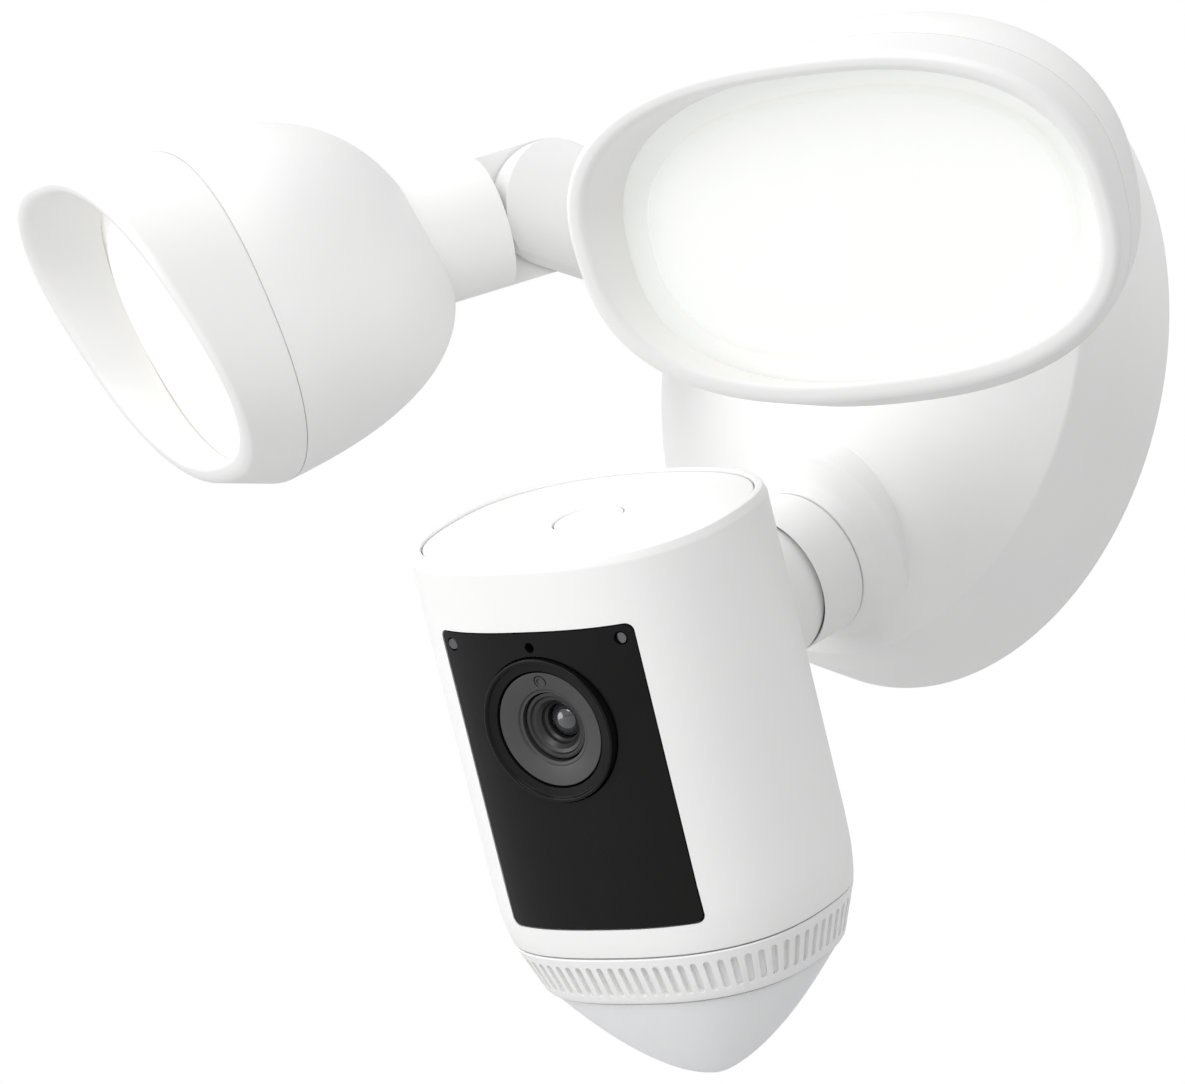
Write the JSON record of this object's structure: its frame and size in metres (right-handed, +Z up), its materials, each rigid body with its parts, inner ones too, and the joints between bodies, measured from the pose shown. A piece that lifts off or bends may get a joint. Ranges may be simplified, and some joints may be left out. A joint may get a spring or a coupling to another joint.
{
  "type": "floodlight security camera",
  "caption": "Wall-mounted security camera on a ball joint, with hooded oval floodlights on swivelling knuckle arms and a domed motion sensor underneath.",
  "frame": {"origin": "centre of the round base on the wall face, on the back of the mounting bracket", "axes": "+Y into the wall, -Y out towards the front, +Z up, +X to the right as seen from the front of the wall"},
  "size_m": [0.2784, 0.1453, 0.196],
  "materials": {
    "white": "fine satin moulding",
    "diffuser": "smooth opal, lit from behind",
    "frosted": "frosted translucent white",
    "panel": "glossy black",
    "dark_plastic": "fine matte black",
    "grey_plastic": "satin dark grey",
    "glass": "clear, coated",
    "steel": "zinc plated",
    "aluminium": "plain",
    "rubber": "matte",
    "board": "green solder mask",
    "reflector": "bright white",
    "nylon": "natural nylon"
  },
  "bodies": {
    "base": {"base_housing": "white", "back_plate": "white", "wall_gasket": "rubber", "mounting_bracket": "steel", "power_board": "board", "transformer": "dark_plastic", "filter_capacitor": "grey_plastic", "terminal_block": "nylon", "bracket_screw_right": "steel", "bracket_screw_left": "steel", "housing_screw_1": "steel", "housing_screw_2": "steel", "housing_screw_3": "steel", "base_lock_screw": "steel"},
    "neck": {"camera_neck": "white", "neck_nut": "nylon"},
    "ball_carrier": {"socket_liner": "nylon"},
    "camera": {"camera_housing": "white", "top_cap": "white", "front_panel": "panel", "rear_collar": "white", "ball_clamp": "nylon", "lens_bezel": "panel", "lens_disc": "grey_plastic", "lens_barrel": "dark_plastic", "lens_glass": "glass", "sensor_board": "board", "main_board": "board", "button_switch": "dark_plastic", "microphone": "dark_plastic", "vent_ring": "white", "speaker": "dark_plastic", "motion_dome": "frosted", "motion_sensor": "steel", "infrared_led_right": "glass", "infrared_led_left": "glass"},
    "button": {"setup_button": "white"},
    "arm_right": {"lamp_arm_right": "white", "shoulder_screw_right": "steel"},
    "lamp_right": {"lamp_shell_right": "white", "lamp_hood_right": "white", "lamp_lens_right": "diffuser", "lens_seal_right": "rubber", "reflector_right": "reflector", "led_board_right": "aluminium", "heat_sink_right": "aluminium", "knuckle_washer_right": "nylon", "knuckle_screw_right": "steel"},
    "arm_left": {"lamp_arm_left": "white", "shoulder_screw_left": "steel"},
    "lamp_left": {"lamp_shell_left": "white", "lamp_hood_left": "white", "lamp_lens_left": "diffuser", "lens_seal_left": "rubber", "reflector_left": "reflector", "led_board_left": "aluminium", "heat_sink_left": "aluminium", "knuckle_washer_left": "nylon", "knuckle_screw_left": "steel"}
  },
  "joints": [
    {"name": "camera_neck_swivel", "type": "hinge", "parent": "base", "child": "neck", "pos_m": [0, -0.02763, -0.0389], "axis": [0, -0.848, -0.5299], "range_deg": [-30, 30]},
    {"name": "camera_pan", "type": "hinge", "parent": "neck", "child": "ball_carrier", "pos_m": [0, -0.04738, -0.05125], "axis": [0.1249, -0.4774, 0.8698], "range_deg": [-35, 15]},
    {"name": "camera_tilt", "type": "hinge", "parent": "ball_carrier", "child": "camera", "pos_m": [0, -0.04738, -0.05125], "axis": [0.9764, 0.2147, -0.0223], "range_deg": [-15, 25]},
    {"name": "setup_button_press", "type": "slide", "parent": "camera", "child": "button", "axis": [-0.1249, 0.4774, -0.8698], "range_m": [0, 0.0008], "stiffness_N_per_m": 1200, "springref_m": -0.0005},
    {"name": "arm_swivel_right", "type": "hinge", "parent": "base", "child": "arm_right", "pos_m": [0.0583, -0.0461, 0.0298], "axis": [0.4134, -0.8865, 0.2079], "range_deg": [-20, 40]},
    {"name": "lamp_tilt_right", "type": "hinge", "parent": "arm_right", "child": "lamp_right", "pos_m": [0.0583, -0.0461, 0.0298], "axis": [0.8951, 0.4376, 0.0861], "range_deg": [-50, 12]},
    {"name": "arm_swivel_left", "type": "hinge", "parent": "base", "child": "arm_left", "pos_m": [-0.0583, -0.0461, 0.0298], "axis": [-0.4134, -0.8865, 0.2079], "range_deg": [-40, 20]},
    {"name": "lamp_tilt_left", "type": "hinge", "parent": "arm_left", "child": "lamp_left", "pos_m": [-0.0583, -0.0461, 0.0298], "axis": [0.8925, -0.4397, -0.1005], "range_deg": [-50, 12]}
  ]
}
